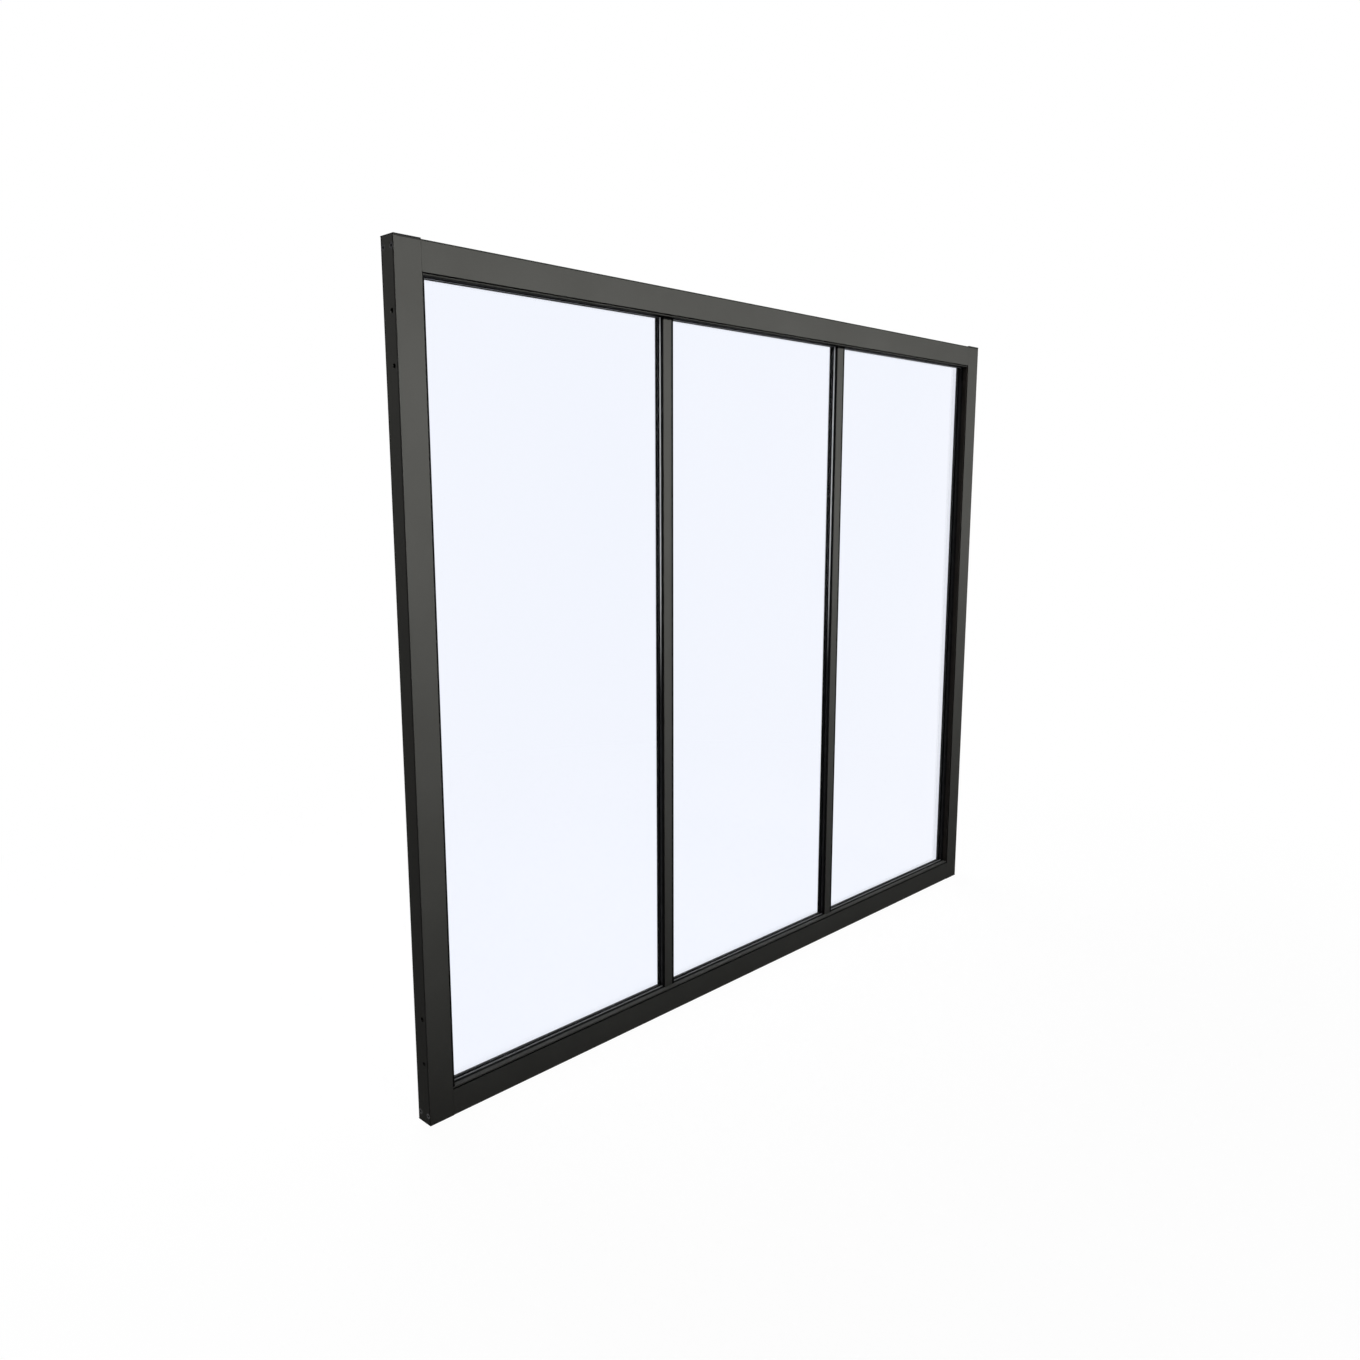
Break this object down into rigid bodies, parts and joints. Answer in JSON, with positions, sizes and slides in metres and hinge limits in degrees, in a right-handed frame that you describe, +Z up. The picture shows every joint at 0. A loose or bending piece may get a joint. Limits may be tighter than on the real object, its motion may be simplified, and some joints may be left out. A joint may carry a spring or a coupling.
{
  "type": "fixed interior window",
  "caption": "Fixed interior window with tall clear panes between slim set-back mullions in a thin black aluminium frame, for a wall opening.",
  "frame": {"origin": "middle of the sill's flat underside, where the window stands in its wall opening", "axes": "+X along the width, +Y from the front face to the back, +Z up; the front faces -Y"},
  "size_m": [1.2, 0.025, 1],
  "materials": {
    "frame": "satin",
    "bead": "satin",
    "cap": "matte",
    "glass": "clear",
    "gasket": "matte",
    "block": "matte"
  },
  "bodies": {
    "root": {"left_jamb": "frame", "right_jamb": "frame", "sill_rail": "frame", "head_rail": "frame", "mullion_left": "frame", "mullion_right": "frame", "sill_bead": "bead", "head_bead": "bead", "left_bead": "bead", "right_bead": "bead", "left_foot_cap": "cap", "right_foot_cap": "cap", "left_head_cap": "cap", "right_head_cap": "cap", "glass_left": "glass", "glass_middle": "glass", "glass_right": "glass", "front_gasket_left": "gasket", "back_gasket_left": "gasket", "front_gasket_middle": "gasket", "back_gasket_middle": "gasket", "front_gasket_right": "gasket", "back_gasket_right": "gasket", "setting_blocks_left": "block", "setting_blocks_middle": "block", "setting_blocks_right": "block"}
  },
  "joints": []
}
